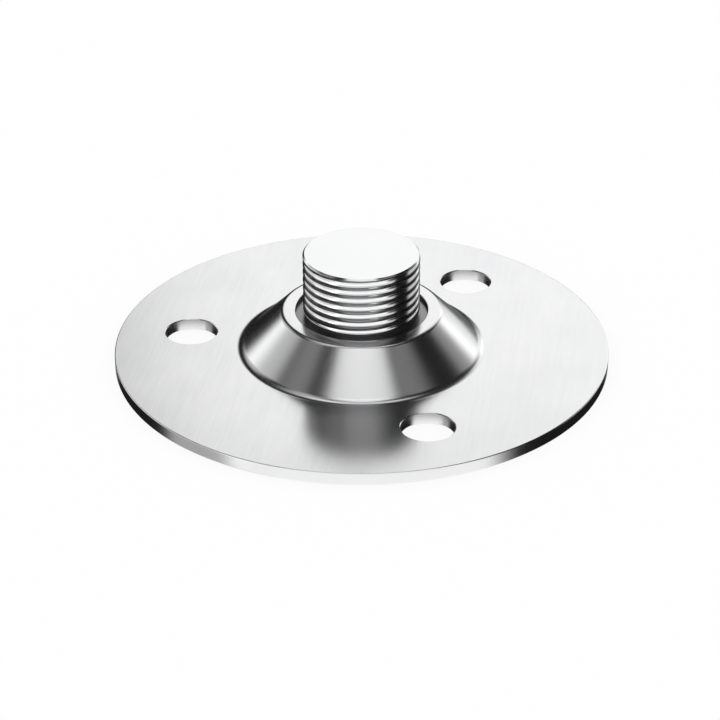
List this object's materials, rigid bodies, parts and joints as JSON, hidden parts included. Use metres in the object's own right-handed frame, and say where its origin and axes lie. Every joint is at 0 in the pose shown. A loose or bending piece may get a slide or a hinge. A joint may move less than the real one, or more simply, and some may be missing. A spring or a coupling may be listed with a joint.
{
  "type": "threaded mounting flange",
  "caption": "Round pressed-steel mounting flange with a raised conical hub, a ring of bolt holes and a short male threaded stud for a pipe support.",
  "frame": {"origin": "on the flange's axis, in the plane of the mounting face", "axes": "+Z along the stud, away from the mounting face; one bolt hole lies on -X"},
  "size_m": [0.085, 0.085, 0.0197],
  "materials": {
    "plate_zinc": "bright zinc plating on pressed sheet steel, semi-gloss",
    "stud_zinc": "bright zinc plating on turned steel, semi-gloss"
  },
  "bodies": {
    "root": {"base_plate": "plate_zinc", "threaded_stud": "stud_zinc"}
  },
  "joints": []
}
